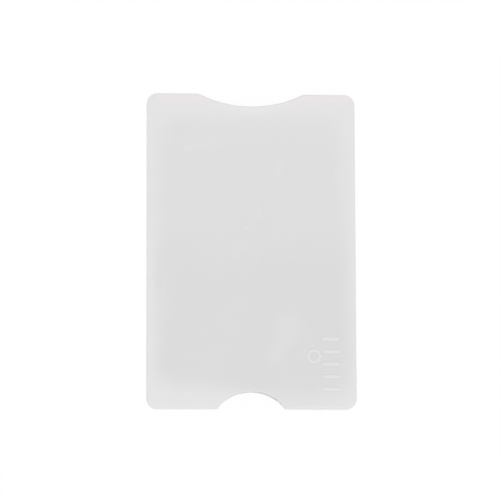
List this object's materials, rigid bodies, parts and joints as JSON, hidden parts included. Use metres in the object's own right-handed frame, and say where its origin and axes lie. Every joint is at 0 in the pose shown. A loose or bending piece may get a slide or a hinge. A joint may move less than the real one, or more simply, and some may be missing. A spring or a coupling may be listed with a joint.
{
  "type": "card holder",
  "caption": "Flat rigid sleeve for a bank card, with shielding foil inside, a shallow thumb notch at its open mouth and a round push-out notch at its closed foot.",
  "frame": {"origin": "middle of the rear face, on the surface that the holder lies on", "axes": "+Z out of the front face, +Y along the length towards the open mouth, +X across, to the right when the front face is read with the mouth up"},
  "size_m": [0.06, 0.091, 0.0042],
  "materials": {
    "white_plastic": "milky white, faintly translucent, satin",
    "foil": "bright rolled foil with faint creases",
    "adhesive": "cloudy transfer film"
  },
  "bodies": {
    "root": {"rear_shell": "white_plastic", "front_shell": "white_plastic", "rear_shield": "foil", "front_shield": "foil", "rear_adhesive_film": "adhesive", "front_adhesive_film": "adhesive"}
  },
  "joints": []
}
